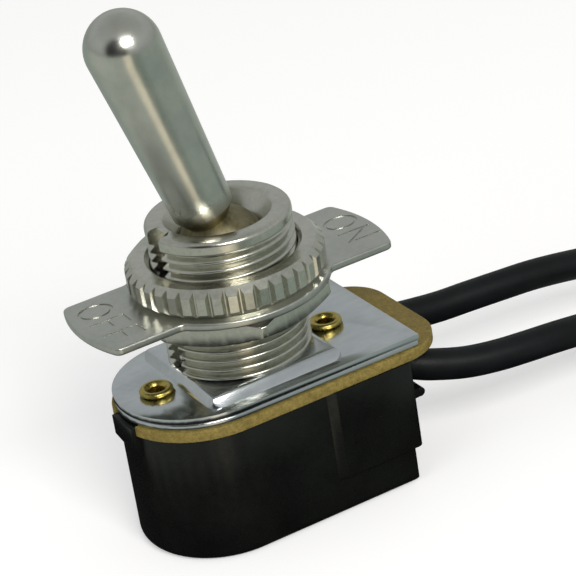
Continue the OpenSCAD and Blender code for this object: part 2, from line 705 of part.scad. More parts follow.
// The button's axis stands square to the wing that carries it
module moving_contact() color("#cfd0cc") on_rocker()
    translate([-contact_x, 0, (contact_x - bend_x) * tan(rocker_wing_angle)])
        rotate([0, rocker_wing_angle, 0]) translate([0, 0, -contact_t])
            cylinder(d = contact_d, h = contact_t, $fn = small);

module fixed_contact() color("#cfd0cc")
    translate([-contact_x, 0, fixed_pad_z]) cylinder(d = contact_d, h = contact_t, $fn = small);

// ---- Terminals ----

ear_gap = 0.2;

// Crimp barrel on a post that stands on the strap at one side of the case
module crimp_post(side) {
    translate([crimp_x, side * lead_side, lead_z]) rotate([0, 90, 0]) difference() {
        cylinder(r = crimp_r, h = crimp_l, $fn = small);
        translate([0, 0, -cut]) cylinder(r = crimp_bore_r, h = crimp_l + 2 * cut, $fn = small);
    }
    translate([crimp_x + crimp_l - strap_t, side * lead_side - strap_w / 2, case_floor])
        cube([strap_t, strap_w, lead_z - crimp_bore_r - 0.15 - case_floor]);
}

// Strap along the floor, from start_x to the crimp post
module side_strap(side, start_x) {
    translate([start_x, side * lead_side - strap_w / 2, case_floor])
        cube([crimp_x + crimp_l - start_x, strap_w, strap_t]);
}

module centre_terminal() color("#b9923f") {
    ear_l = 2.4;
    ear_y = rocker_w / 2 + ear_gap;
    ear_top = rocker_pivot_z + 0.6;
    slot_r = trunnion_r + running_gap;
    difference() {
        for (side = [-1, 1])
            translate([-ear_l / 2, side > 0 ? ear_y : -ear_y - strap_t, case_floor])
                cube([ear_l, strap_t, ear_top - case_floor]);
        translate([0, 0, rocker_pivot_z]) rotate([90, 0, 0])
            cylinder(r = slot_r, h = 2 * (ear_y + strap_t + cut), center = true, $fn = small);
        translate([-slot_r, -ear_y - strap_t - cut, rocker_pivot_z])
            cube([2 * slot_r, 2 * (ear_y + strap_t + cut), cut]);
    }
    translate([-ear_l / 2, -lead_side, case_floor])
        cube([ear_l, lead_side + ear_y + strap_t, strap_t]);
    side_strap(-1, -ear_l / 2);
    crimp_post(-1);
}

module end_terminal() color("#b9923f") {
    pad_l = 2.8;
    leg_y = lead_side + strap_w / 2 - strap_t;
    difference() {
        translate([-contact_x - pad_l / 2, -pad_l / 2, fixed_pad_z - strap_t])
            cube([pad_l, pad_l / 2 + leg_y + strap_t, strap_t]);
        translate([-contact_x + strap_w / 2, pad_l / 2, fixed_pad_z - strap_t - cut])
            cube([pad_l, case_w, strap_t + 2 * cut]);
    }
    translate([-contact_x - pad_l / 2, leg_y, case_floor])
        cube([pad_l / 2 + strap_w / 2, strap_t, fixed_pad_z - case_floor]);
    side_strap(1, -contact_x - pad_l / 2);
    crimp_post(1);
}

// ---- Leads ----

module lead_front() color("#1b1d1e") swept_tube(lead_front_route, lead_r, 8);

module lead_rear() color("#1b1d1e") swept_tube(lead_rear_route, lead_r, 8);

module lead_front_core() color("#c07a4a")
    translate([crimp_x, -lead_side, lead_z]) rotate([0, 90, 0])
        cylinder(r = core_r, h = lead_start_x - crimp_x, $fn = small);

module lead_rear_core() color("#c07a4a")
    translate([crimp_x, lead_side, lead_z]) rotate([0, 90, 0])
        cylinder(r = core_r, h = lead_start_x - crimp_x, $fn = small);

// Bare strands that run on from the last point of a route
module stripped_end(route) {
    last = route[len(route) - 1];
    before = route[len(route) - 2];
    ahead = (last - before) / norm(last - before);
    translate(last) rotate([0, acos(ahead[2]), atan2(ahead[1], ahead[0])])
        cylinder(r = core_r, h = strip_l, $fn = small);
}

module lead_front_end() color("#c07a4a") stripped_end(lead_front_route);

module lead_rear_end() color("#c07a4a") stripped_end(lead_rear_route);

// Flat tie round the leads, with its twisted tail along the top
module lead_tie() color("#202224") {
    tail_l = 7;
    tail_r = 0.6;
    translate([tie_x - tie_w / 2, 0, 0]) rotate([90, 0, 90]) linear_extrude(tie_w) difference() {
        translate([-tie_side - tie_t - 0.05, tie_low - tie_t - 0.05])
            square([2 * (tie_side + tie_t + 0.05), tie_high - tie_low + 2 * (tie_t + 0.05)]);
        translate([-tie_side - 0.05, tie_low - 0.05])
            square([2 * (tie_side + 0.05), tie_high - tie_low + 0.1]);
    }
    translate([tie_x, 0, tie_high + tie_t + tail_r - 0.1]) rotate([0, 90, 0])
        cylinder(r = tail_r, h = tail_l, $fn = small);
}

case();
fibre_plate();
under_plate();
frame_plate();
rivet_off_end();
rivet_wire_end();
bushing();
hex_nut();
indicator_plate();
knurled_nut();
lever();
plunger();
plunger_spring();
rocker_contact();
moving_contact();
fixed_contact();
centre_terminal();
end_terminal();
lead_front();
lead_rear();
lead_front_core();
lead_rear_core();
lead_front_end();
lead_rear_end();
lead_tie();
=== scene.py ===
import math
import bmesh
import bpy
from mathutils import Matrix, Vector


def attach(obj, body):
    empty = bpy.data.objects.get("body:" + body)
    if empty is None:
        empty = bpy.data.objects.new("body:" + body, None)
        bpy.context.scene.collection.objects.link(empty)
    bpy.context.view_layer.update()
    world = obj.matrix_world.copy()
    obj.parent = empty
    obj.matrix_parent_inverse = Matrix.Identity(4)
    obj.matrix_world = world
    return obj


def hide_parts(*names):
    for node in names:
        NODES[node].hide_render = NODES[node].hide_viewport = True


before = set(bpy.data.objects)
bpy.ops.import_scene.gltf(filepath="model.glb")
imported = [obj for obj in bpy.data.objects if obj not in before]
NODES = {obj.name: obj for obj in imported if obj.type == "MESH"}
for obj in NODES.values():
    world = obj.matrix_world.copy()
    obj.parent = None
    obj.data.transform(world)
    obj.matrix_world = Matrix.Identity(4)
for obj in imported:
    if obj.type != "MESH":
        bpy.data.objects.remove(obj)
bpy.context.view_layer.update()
MM = 0.001
PIVOT_Z = 23.5  # height of the lever's ball


# ---------------------------------------------------------------- camera

CAMERA_PLACE = (-82.65, -178.17, 116.34)
CAMERA_TURN = (-26.274, 26.396, -9.322)  # azimuth, elevation and roll in degrees
CAMERA_LENS, CAMERA_SHIFT = 169.82, (-0.0040, 0.0028)


def make_camera():
    azimuth, elevation, roll = [math.radians(angle) for angle in CAMERA_TURN]
    back = Vector((math.sin(azimuth) * math.cos(elevation), -math.cos(azimuth) * math.cos(elevation),
                   math.sin(elevation)))
    right = Vector((math.cos(azimuth), math.sin(azimuth), 0))
    up = back.cross(right)
    side = right * math.cos(roll) + up * math.sin(roll)
    top = up * math.cos(roll) - right * math.sin(roll)
    data = bpy.data.cameras.new("camera")
    data.sensor_width = 36
    data.lens = CAMERA_LENS
    data.shift_x, data.shift_y = CAMERA_SHIFT
    data.clip_start, data.clip_end = 0.01, 10
    cam = bpy.data.objects.new("camera", data)
    bpy.context.scene.collection.objects.link(cam)
    turn = Matrix((side, top, back)).transposed().to_4x4()
    cam.matrix_world = Matrix.Translation(Vector(CAMERA_PLACE) * MM) @ turn
    bpy.context.scene.camera = cam


make_camera()


# ---------------------------------------------------------------- material kit

class Shade:
    """A node material on one Principled shader, with helpers for its textures. Lengths are in millimetres."""

    def __init__(self, name, **sockets):
        self.mat = bpy.data.materials.new(name)
        self.mat.use_nodes = True
        self.tree = self.mat.node_tree
        self.bsdf = self.tree.nodes["Principled BSDF"]
        for key, value in sockets.items():
            self.bsdf.inputs[key.replace("_", " ")].default_value = value
        coord = self.tree.nodes.new("ShaderNodeTexCoord")
        self.coord = coord.outputs["Object"]

    def node(self, kind, **sockets):
        n = self.tree.nodes.new(kind)
        for key, value in sockets.items():
            n.inputs[key.replace("_", " ")].default_value = value
        return n

    def link(self, a, b):
        self.tree.links.new(a, b)

    def place(self, stretch=(1, 1, 1), turn=(0, 0, 0)):
        m = self.node("ShaderNodeMapping")
        m.inputs["Scale"].default_value = [1000 * s for s in stretch]
        m.inputs["Rotation"].default_value = turn
        self.link(self.coord, m.inputs["Vector"])
        return m.outputs["Vector"]

    def noise(self, size, detail=4, rough=0.6, stretch=(1, 1, 1), turn=(0, 0, 0)):
        n = self.node("ShaderNodeTexNoise", Scale=1 / size, Detail=detail, Roughness=rough)
        self.link(self.place(stretch, turn), n.inputs["Vector"])
        return n.outputs["Fac"]

    def ramp(self, source, low, high, a=0.35, b=0.65):
        """source from a to b becomes low to high: numbers or colours"""
        if isinstance(low, (int, float)):
            n = self.node("ShaderNodeMapRange")
            for key, value in zip(("From Min", "From Max", "To Min", "To Max"), (a, b, low, high)):
                n.inputs[key].default_value = value
            self.link(source, n.inputs["Value"])
            return n.outputs["Result"]
        n = self.node("ShaderNodeValToRGB")
        n.color_ramp.elements[0].position, n.color_ramp.elements[1].position = a, b
        n.color_ramp.elements[0].color = (*low, 1)
        n.color_ramp.elements[1].color = (*high, 1)
        self.link(source, n.inputs["Fac"])
        return n.outputs["Color"]

    def math(self, kind, a, b):
        n = self.tree.nodes.new("ShaderNodeMath")
        n.operation = kind
        for socket, value in zip(n.inputs, (a, b)):
            if isinstance(value, (int, float)):
                socket.default_value = value
            else:
                self.link(value, socket)
        return n.outputs["Value"]

    def mix(self, share, a, b):
        n = self.tree.nodes.new("ShaderNodeMix")
        n.data_type = "RGBA"
        for socket, value in zip((n.inputs["Factor"], n.inputs["A"], n.inputs["B"]), (share, a, b)):
            if isinstance(value, tuple):
                socket.default_value = (*value, 1)
            elif isinstance(value, (int, float)):
                socket.default_value = value
            else:
                self.link(value, socket)
        return [o for o in n.outputs if o.type == "RGBA"][0]

    def set(self, key, source):
        self.link(source, self.bsdf.inputs[key])
        return self

    def bump(self, height, depth, strength=0.5):
        """depth in millimetres"""
        n = self.node("ShaderNodeBump", Strength=strength, Distance=depth * MM)
        self.link(height, n.inputs["Height"])
        self.link(n.outputs["Normal"], self.bsdf.inputs["Normal"])
        return self


def metal(name, dark, light, rough, grain=0.6, stretch=(1, 1, 1), turn=(0, 0, 0), bump=0.002):
    """A plated or bare metal between two colours and two roughnesses, in clouds and a finer grain"""
    s = Shade(name, Metallic=1.0)
    cloud = s.noise(4.0, 5, 0.6)
    fine = s.noise(grain, 6, 0.7, stretch, turn)
    both = s.math("ADD", s.math("MULTIPLY", cloud, 0.55), s.math("MULTIPLY", fine, 0.45))
    s.set("Base Color", s.ramp(both, dark, light, 0.38, 0.62))
    s.set("Roughness", s.ramp(both, rough[0], rough[1], 0.36, 0.64))
    s.bump(fine, bump, 0.35)
    return s


def make_lever_material():
    """Polished nickel whose ball and shoulder, which run in the socket, are duller, and whose colour there is darker
    and browner: painted shade and reflection of the dark socket mouth
    """
    s = Shade("lever_nickel", Metallic=1.0)
    cloud, fine = s.noise(4.0, 5, 0.6), s.noise(0.9, 6, 0.7, (1, 1, 0.12), (0, math.radians(15.75), 0))
    away = s.node("ShaderNodeVectorMath")
    away.operation = "DISTANCE"
    s.link(s.coord, away.inputs[0])
    away.inputs[1].default_value = (0, 0, PIVOT_Z * MM)
    # within about 4 to 6 mm of the pivot the colour turns dark and brown: painted shade standing for the dark socket
    # mouth that the ball and shoulder reflect
    painted_socket_shade = s.node("ShaderNodeMapRange", From_Min=4.3 * MM, From_Max=6.2 * MM)
    s.link(away.outputs["Value"], painted_socket_shade.inputs["Value"])
    share = painted_socket_shade.outputs["Result"]
    s.set("Base Color", s.mix(share, s.ramp(fine, (0.16, 0.14, 0.07), (0.30, 0.27, 0.17)),
                              s.ramp(cloud, (0.54, 0.55, 0.50), (0.66, 0.66, 0.60))))
    s.set("Roughness", s.mix(share, s.ramp(fine, 0.40, 0.52), s.ramp(fine, 0.21, 0.27)))
    s.bump(fine, 0.0012, 0.3)
    return s.mat


def make_materials():
    m = {}
    m["nickel"] = metal("nickel", (0.52, 0.52, 0.46), (0.64, 0.63, 0.56), (0.2, 0.26), 0.5, bump=0.001).mat
    m["lever"] = make_lever_material()
    m["plate"] = metal("plate_nickel", (0.50, 0.51, 0.47), (0.60, 0.60, 0.55), (0.28, 0.36), 0.5, bump=0.0006).mat
    m["zinc"] = metal("zinc_plate", (0.57, 0.60, 0.62), (0.67, 0.69, 0.71), (0.16, 0.21),
                      0.9, (0.35, 1, 1), bump=0.0012).mat
    m["rivet"] = metal("rivet_brass", (0.40, 0.32, 0.08), (0.60, 0.48, 0.14), (0.22, 0.36), 0.4).mat
    m["contact"] = metal("contact_brass", (0.62, 0.46, 0.22), (0.80, 0.63, 0.34), (0.25, 0.4), 0.5).mat
    m["silver"] = metal("silver_face", (0.72, 0.72, 0.70), (0.86, 0.86, 0.84), (0.2, 0.35), 0.4).mat
    m["steel"] = metal("spring_wire", (0.40, 0.40, 0.39), (0.56, 0.56, 0.54), (0.25, 0.4), 0.3).mat
    m["copper"] = metal("copper_strands", (0.66, 0.32, 0.17), (0.86, 0.50, 0.30), (0.25, 0.4), 0.3).mat

    s = Shade("phenolic", Specular_IOR_Level=0.32)
    cloud, fine = s.noise(6.0, 4, 0.55), s.noise(0.5, 5, 0.6)
    s.set("Base Color", s.ramp(cloud, (0.003, 0.0034, 0.003), (0.006, 0.007, 0.006)))
    s.set("Roughness", s.ramp(fine, 0.24, 0.34))
    s.bump(s.math("ADD", s.math("MULTIPLY", cloud, 0.8), s.math("MULTIPLY", fine, 0.2)), 0.02, 0.3)
    m["phenolic"] = s.mat

    s = Shade("vulcan_fibre", Specular_IOR_Level=0.35)
    fleck, weave, speck = s.noise(0.45, 6, 0.75), s.noise(2.5, 3, 0.5), s.noise(0.16, 3, 0.7)
    tone = s.math("ADD", s.math("MULTIPLY", fleck, 0.6), s.math("MULTIPLY", speck, 0.4))
    s.set("Base Color", s.mix(weave, s.ramp(tone, (0.085, 0.062, 0.010), (0.26, 0.19, 0.042)),
                              s.ramp(tone, (0.12, 0.088, 0.016), (0.31, 0.235, 0.060))))
    s.set("Roughness", s.ramp(fleck, 0.5, 0.75))
    s.bump(tone, 0.04, 0.7)
    m["fibre"] = s.mat

    s = Shade("lead_insulation", Specular_IOR_Level=0.2)
    cloud, fine = s.noise(5.0, 4, 0.6), s.noise(0.25, 4, 0.6)
    s.set("Base Color", s.ramp(cloud, (0.003, 0.0035, 0.004), (0.006, 0.007, 0.008)))
    s.set("Roughness", s.ramp(fine, 0.38, 0.52))
    s.bump(s.math("ADD", s.math("MULTIPLY", cloud, 0.6), s.math("MULTIPLY", fine, 0.4)), 0.03, 0.4)
    m["insulation"] = s.mat

    s = Shade("nylon", Specular_IOR_Level=0.5)
    s.set("Base Color", s.ramp(s.noise(1.5), (0.70, 0.68, 0.60), (0.80, 0.79, 0.72)))
    s.set("Roughness", s.ramp(s.noise(0.3), 0.35, 0.5))
    m["nylon"] = s.mat

    s = Shade("tie_paper")
    fine = s.noise(0.2, 5, 0.7, (0.3, 1, 1))
    s.set("Base Color", s.ramp(fine, (0.012, 0.012, 0.013), (0.035, 0.036, 0.038)))
    s.set("Roughness", s.ramp(fine, 0.55, 0.75))
    s.bump(fine, 0.02, 0.6)
    m["tie"] = s.mat
    return m


MATS = make_materials()


def paint(obj, mat):
    obj.data.materials.clear()
    obj.data.materials.append(mat)


# ---------------------------------------------------------------- leads

LEAD_D = 2.7
FRONT = [(6.9, -4.1, 9.7), (9.5, -4.1, 9.7), (12, -4.1, 9.7), (14.5, -5.0, 9.0), (17.3, -5.8, 8.4),
         (20.1, -6.3, 8.1), (22.9, -6.5, 7.9), (26.7, -6.4, 7.5), (30.6, -5.9, 6.7), (34.4, -5.1, 5.3),
         (38.2, -4.0, 3.6), (42, -2.9, 2.3), (47.8, -1.8, 1.8), (54.5, -1.45, 1.8), (61, -1.9, 1.6), (68, -3.6, 1.4),
         (75, -6.2, 1.4), (81, -8.0, 1.4), (88, -8.4, 1.4), (92.4, -7.2, 1.4), (95.3, -4.2, 1.4), (96.4, 0, 1.4),
         (95.3, 4.2, 1.4), (92.4, 7.2, 1.4), (88, 8.4, 1.4), (81, 8.0, 1.4), (75, 6.2, 1.4), (68, 3.6, 1.4),
         (61, 1.9, 1.6), (54.5, 1.45, 1.8), (48.5, 1.6, 1.6)]
REAR = [(6.9, 4.1, 9.7), (9.5, 4.1, 9.7), (12, 4.1, 9.7), (15.3, 4.0, 9.3), (20.5, 3.8, 8.7), (23.9, 3.6, 8.6),
        (27.2, 3.4, 8.5), (30.6, 3.3, 8.3), (34.4, 3.2, 7.8), (38.2, 3.1, 7.1), (42, 2.7, 6.1), (47.8, 1.9, 5.0),
        (54.5, 1.45, 4.6), (61, 1.9, 4.5), (68, 3.6, 4.2), (75, 6.2, 4.2), (81, 8.0, 4.2), (88, 8.4, 4.2),
        (92.4, 7.2, 4.2), (95.3, 4.2, 4.2), (96.4, 0, 4.2), (95.3, -4.2, 4.2), (92.4, -7.2, 4.2), (88, -8.4, 4.2),
        (81, -8.0, 4.2), (75, -6.2, 4.2), (68, -3.6, 4.2), (61, -1.9, 4.5), (54.5, -1.45, 4.6), (49.5, -1.6, 4.7)]


def smooth_route(points, steps=6):
    """A smooth line through the points (Catmull-Rom)"""
    p = [Vector(q) for q in points]
    out = []
    for i in range(len(p) - 1):
        a, b, c, d = p[max(i - 1, 0)], p[i], p[i + 1], p[min(i + 2, len(p) - 1)]
        for k in range(steps):
            t = k / steps
            out.append(0.5 * (2 * b + (c - a) * t + (2 * a - 5 * b + 4 * c - d) * t ** 2
                              + (3 * b - a - 3 * c + d) * t ** 3))
    return out + [p[-1]]


def tube(name, points, diameter, mat):
    data = bpy.data.curves.new(name, "CURVE")
    data.dimensions = "3D"
    data.bevel_depth = diameter / 2 * MM
    data.bevel_resolution = 7
    data.use_fill_caps = True
    spline = data.splines.new("POLY")
    spline.points.add(len(points) - 1)
    for q, p in zip(spline.points, points):
        q.co = (*(p * MM), 1)
    spline.use_smooth = True
    obj = bpy.data.objects.new(name, data)
    bpy.context.scene.collection.objects.link(obj)
    data.materials.append(mat)
    return obj


def make_leads():
    for name, route, ends in (("lead_front", FRONT, ["lead_front_end", "lead_tie"]),
                              ("lead_rear", REAR, ["lead_rear_end"])):
        line = smooth_route(route)
        piece = tube(name + "_insulation", line, LEAD_D, MATS["insulation"])
        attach(piece, "switch_body")
        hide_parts(name)


make_leads()


# ---------------------------------------------------------------- mesh kit

WELD = 2e-7  # metres within which points are one


def mesh_piece(name, verts, faces, mat, body, instead, smooth_angle):
    """A mesh from points in millimetres that rides on body and stands for the nodes in instead"""
    data = bpy.data.meshes.new(name)
    data.from_pydata([[c * MM for c in v] for v in verts], [], faces)
    bm = bmesh.new()
    bm.from_mesh(data)
    bmesh.ops.remove_doubles(bm, verts=bm.verts, dist=WELD)
    bmesh.ops.dissolve_degenerate(bm, edges=bm.edges, dist=WELD)
    bmesh.ops.recalc_face_normals(bm, faces=bm.faces)
    bm.to_mesh(data)
    bm.free()
    obj = bpy.data.objects.new(name, data)
    bpy.context.scene.collection.objects.link(obj)
    data.materials.append(mat)
    data.shade_smooth()
    data.set_sharp_from_angle(angle=math.radians(smooth_angle))
    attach(obj, body)
    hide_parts(*instead)


# ---------------------------------------------------------------- threaded bushing

PITCH = 0.794
CREST_R, ROOT_R = 5.95, 5.47
FOOT_Z, TOP_Z = 14.45, 26.85
KEY_X, KEY_Y = 5.0, 0.95
SOCKET_R = 3.725
LIP_R, LIP_Z = 3.38, 25.07
RIM_R = 0.45  # rounding of the mouth's outer edge


def thread_radius(phase):
    """Radius of a truncated vee thread, phase 0 to 1 through one pitch"""
    rise = abs(2 * (phase % 1) - 1)
    share = min(1, max(0, (rise - 0.12) / 0.7))
    return ROOT_R + (CREST_R - ROOT_R) * share


def bushing_outer(columns=150, rows_a_turn=12):
    """Rings that climb with the thread from one side of the keyway round to the other"""
    turns = math.ceil((TOP_Z - FOOT_Z) / PITCH) + 2
    grid = []
    for j in range(turns * rows_a_turn + 1):
        row = []
        for i in range(columns + 1):
            share = i / columns
            z = FOOT_Z - PITCH + (j / rows_a_turn + share) * PITCH
            z = min(max(z, FOOT_Z), TOP_Z)
            turn = 360 * share - 180
            below = TOP_Z - z
            r = thread_radius(z / PITCH - turn / 360)
            r += (CREST_R - r) * min(1, max(0, (1.35 - below) / 0.5))
            r -= RIM_R - math.sqrt(RIM_R ** 2 - (RIM_R - below) ** 2) if below < RIM_R else 0
            edge = math.degrees(math.asin(KEY_Y / r))
            a = math.radians(-180 + edge + share * (360 - 2 * edge))
            row.append((r * math.cos(a), r * math.sin(a), z))
        grid.append(row)
    return grid


def make_bushing():
    grid = bushing_outer()
    verts, faces = [], []

    def add(p):
        verts.append(p)
        return len(verts) - 1

    ids = [[add(p) for p in row] for row in grid]
    low_key = [add((-KEY_X, -KEY_Y, row[0][2])) for row in grid]
    high_key = [add((-KEY_X, KEY_Y, row[-1][2])) for row in grid]
    for j in range(len(grid) - 1):
        a, b = ids[j], ids[j + 1]
        faces += [[a[i], a[i + 1], b[i + 1], b[i]] for i in range(len(a) - 1)]
        faces.append([low_key[j], a[0], b[0], low_key[j + 1]])
        faces.append([a[-1], high_key[j], high_key[j + 1], b[-1]])
        faces.append([high_key[j], low_key[j], low_key[j + 1], high_key[j + 1]])
    columns = len(grid[0]) - 1
    angles = [math.atan2(p[1], p[0]) for p in grid[-1]]
    angles = [math.radians(-180) + 0.08] + angles + [math.radians(180) - 0.08]

    def ring(r, z):
        return [add((r * math.cos(a), r * math.sin(a), z)) for a in angles]

    # mouth, socket and bore, downwards; then the spigot and flange under the frame plate
    inner = [(4.55, TOP_Z), (4.46, TOP_Z - 0.03), (4.33, TOP_Z - 0.15), (LIP_R + 0.03, LIP_Z + 0.04), (LIP_R, LIP_Z)]
    for k in range(1, 9):
        t = math.asin((LIP_Z - PIVOT_Z) / SOCKET_R) * (1 - k / 8)
        inner.append((SOCKET_R * math.cos(t), PIVOT_Z + SOCKET_R * math.sin(t)))
    inner += [(SOCKET_R, 21.8), (4.59, 13.55), (5.29, 13.55), (5.29, 13.9), (5.04, 13.9), (5.04, FOOT_Z)]
    outer_top = [low_key[-1]] + ids[-1] + [high_key[-1]]
    outer_foot = [low_key[0]] + ids[0] + [high_key[0]]
    loops = [outer_top] + [ring(r, z) for r, z in inner] + [outer_foot]
    for a, b in zip(loops, loops[1:]):
        n = len(a)
        faces += [[a[i], a[(i + 1) % n], b[(i + 1) % n], b[i]] for i in range(n)]
    mesh_piece("bushing_thread", verts, faces, MATS["nickel"], "switch_body", ["bushing"],
               smooth_angle=35)


make_bushing()


# ---------------------------------------------------------------- knurled nut

NUT_Z, NUT_H, NUT_R, NUT_BORE_R = 21.1, 2.6, 8.1, 6.05
NUT_BEVEL, NUT_SINK, TEETH, TOOTH_DEPTH = 0.6, 0.35, 40, 0.42


def make_knurled_nut():
    """Flat teeth with narrow vee grooves between them, turned off at both faces by a cone"""
    outline = []
    for k in range(TEETH):
        for share, depth in ((0.0, 0), (0.56, 0), (0.74, TOOTH_DEPTH), (0.82, TOOTH_DEPTH)):
            a = 2 * math.pi * (k + share) / TEETH
            r = NUT_R - depth
            outline.append((r, a))
    low, high = NUT_Z, NUT_Z + NUT_H
    face_r = NUT_R - NUT_BEVEL
    loops = [[(face_r, a, high) for r, a in outline],
             [(r, a, high - (r - face_r)) for r, a in outline],
             [(r, a, low + (r - face_r)) for r, a in outline],
             [(face_r, a, low) for r, a in outline],
             [(NUT_BORE_R, a, low) for r, a in outline],
             [(NUT_BORE_R, a, high - NUT_SINK) for r, a in outline],
             [(NUT_BORE_R + NUT_SINK, a, high) for r, a in outline]]
    n = len(outline)
    verts = [(r * math.cos(a), r * math.sin(a), z) for loop in loops for r, a, z in loop]
    faces = []
    for j in range(len(loops)):
        a, b = j * n, (j + 1) % len(loops) * n
        faces += [[a + i, b + i, b + (i + 1) % n, a + (i + 1) % n] for i in range(n)]
    mesh_piece("knurled_nut_toothed", verts, faces, MATS["nickel"], "knurled_nut",
               ["knurled_nut"], smooth_angle=20)


make_knurled_nut()


# ---------------------------------------------------------------- indicator plate with engraved words

PLATE_Z, PLATE_T = 20.45, 0.65
PLATE_R, WING_END_R, WING_W = 8.4, 13.5, 9.8
WING_CORNER_R, WING_ROOT_R, PLATE_HOLE_R = 0.7, 0.8, 6.05
STROKE, LETTER_H, ENGRAVED = 0.25, 3.0, 0.09


def arc(middle, r, start, end, steps):
    """Points on an arc, from one bearing in degrees to another"""
    angles = [math.radians(start + (end - start) * k / steps) for k in range(steps + 1)]
    return [(middle[0] + r * math.cos(a), middle[1] + r * math.sin(a)) for a in angles]


def plate_outline():
    """The plate's outline: one quarter from +X to +Y, mirrored into the other three"""
    corner_y = WING_W / 2 - WING_CORNER_R
    corner_x = math.sqrt((WING_END_R - WING_CORNER_R) ** 2 - corner_y ** 2)
    root_y = WING_W / 2 + WING_ROOT_R
    root_x = math.sqrt((PLATE_R + WING_ROOT_R) ** 2 - root_y ** 2)
    corner_angle = math.degrees(math.atan2(corner_y, corner_x))
    root_angle = math.degrees(math.atan2(root_y, root_x))
    quarter = arc((0, 0), WING_END_R, 0, corner_angle, 10)
    quarter += arc((corner_x, corner_y), WING_CORNER_R, corner_angle, 90, 8)[1:]
    quarter += arc((root_x, root_y), WING_ROOT_R, -90, root_angle - 180, 8)
    quarter += arc((0, 0), PLATE_R, root_angle, 90, 16)[1:]
    left = [(-x, y) for x, y in quarter[-2::-1]]
    return quarter + left + [(-x, -y) for x, y in (quarter + left)[1:-1]]


def flat_piece(name, loops, low, high, edge=0.0):
    """A mesh between two levels from closed loops in one plane: inner loops are holes, edges are rounded"""
    data = bpy.data.curves.new(name, "CURVE")
    data.dimensions = "2D"
    data.fill_mode = "BOTH"
    data.extrude = ((high - low) / 2 - edge) * MM
    data.bevel_depth, data.bevel_resolution, data.offset = edge * MM, 3, -edge * MM
    for loop in loops:
        spline = data.splines.new("POLY")
        spline.points.add(len(loop) - 1)
        for q, (x, y) in zip(spline.points, loop):
            q.co = (x * MM, y * MM, 0, 1)
        spline.use_cyclic_u = True
    obj = bpy.data.objects.new(name, data)
    bpy.context.scene.collection.objects.link(obj)
    bpy.context.view_layer.update()
    mesh = bpy.data.meshes.new_from_object(obj.evaluated_get(bpy.context.evaluated_depsgraph_get()))
    mesh.transform(Matrix.Translation((0, 0, (low + high) / 2 * MM)))
    bpy.data.objects.remove(obj)
    return mesh


def letter_loops(letter):
    """Loops of one letter, LETTER_H high, from its left foot at the origin; and its width"""
    h, t = LETTER_H, STROKE
    if letter == "O":
        w = 2.4
        middle = (w / 2, h / 2)
        turn = [math.radians(9 * k) for k in range(40)]
        return [[(middle[0] + (w / 2 - e) * math.cos(a), middle[1] + (h / 2 - e) * math.sin(a)) for a in turn]
                for e in (0, t)], w
    if letter == "F":
        w, arm = 1.6, 0.52 * h
        return [[(0, 0), (t, 0), (t, arm - t), (0.85 * w, arm - t), (0.85 * w, arm), (t, arm), (t, h - t),
                 (w, h - t), (w, h), (0, h)]], w
    w = 2.0
    slope = t * 1.25
    return [[(0, 0), (t, 0), (t, h - 2.2 * slope), (w - t, 0), (w, 0), (w, h), (w - t, h), (w - t, 2.2 * slope),
             (t, h), (0, h)]], w


def word_cutter(word, foot_x):
    """Cuts a word whose letters stand up towards +X and run towards -Y, with their feet at foot_x"""
    gap = 0.75
    letters = [letter_loops(c) for c in word]
    along = sum(w for _, w in letters) / 2 + gap * (len(word) - 1) / 2
    top = PLATE_Z + PLATE_T
    cutters = []
    for loops, w in letters:
        turned = [[(foot_x + y, along - x) for x, y in loop] for loop in loops]
        cutters.append(flat_piece(word + "_cutter", turned, top - ENGRAVED, top + 0.5))
        along -= w + gap
    return cutters


def make_plate():
    tab = [(-PLATE_HOLE_R, -0.85), (-5.1, -0.85), (-5.1, 0.85), (-PLATE_HOLE_R, 0.85)]
    half = math.degrees(math.asin(0.85 / PLATE_HOLE_R))
    hole = arc((0, 0), PLATE_HOLE_R, -180 + half, 180 - half, 60) + [tab[2], tab[1]]
    mesh = flat_piece("indicator_plate_lettered", [plate_outline(), hole], PLATE_Z, PLATE_Z + PLATE_T, 0.16)
    obj = bpy.data.objects.new("indicator_plate_lettered", mesh)
    bpy.context.scene.collection.objects.link(obj)
    for cutter in word_cutter("OFF", -12.4) + word_cutter("ON", 10.0):
        tool = bpy.data.objects.new("tool", cutter)
        bpy.context.scene.collection.objects.link(tool)
        cut = obj.modifiers.new("cut", "BOOLEAN")
        cut.object, cut.operation, cut.solver = tool, "DIFFERENCE", "EXACT"
        bpy.context.view_layer.update()
        done = bpy.data.meshes.new_from_object(obj.evaluated_get(bpy.context.evaluated_depsgraph_get()))
        obj.modifiers.clear()
        obj.data = done
        bpy.data.objects.remove(tool)
    obj.data.shade_smooth()
    obj.data.set_sharp_from_angle(angle=math.radians(40))
    paint(obj, MATS["plate"])
    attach(obj, "switch_body")
    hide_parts("indicator_plate")


make_plate()


# ---------------------------------------------------------------- CAD pieces and their finish

FINISH = {
    "case": "phenolic", "fibre_plate": "fibre", "under_plate": "zinc", "frame_plate": "zinc",
    "rivet_off_end": "rivet", "rivet_wire_end": "rivet", "hex_nut": "nickel",
    "lever": "lever", "plunger": "nylon", "plunger_spring": "steel",
    "rocker_contact": "contact", "moving_contact": "silver", "fixed_contact": "silver",
    "centre_terminal": "contact", "end_terminal": "contact", "lead_front_core": "copper",
    "lead_rear_core": "copper", "lead_front_end": "copper", "lead_rear_end": "copper", "lead_tie": "tie"}
for node, finish in FINISH.items():
    paint(NODES[node], MATS[finish])

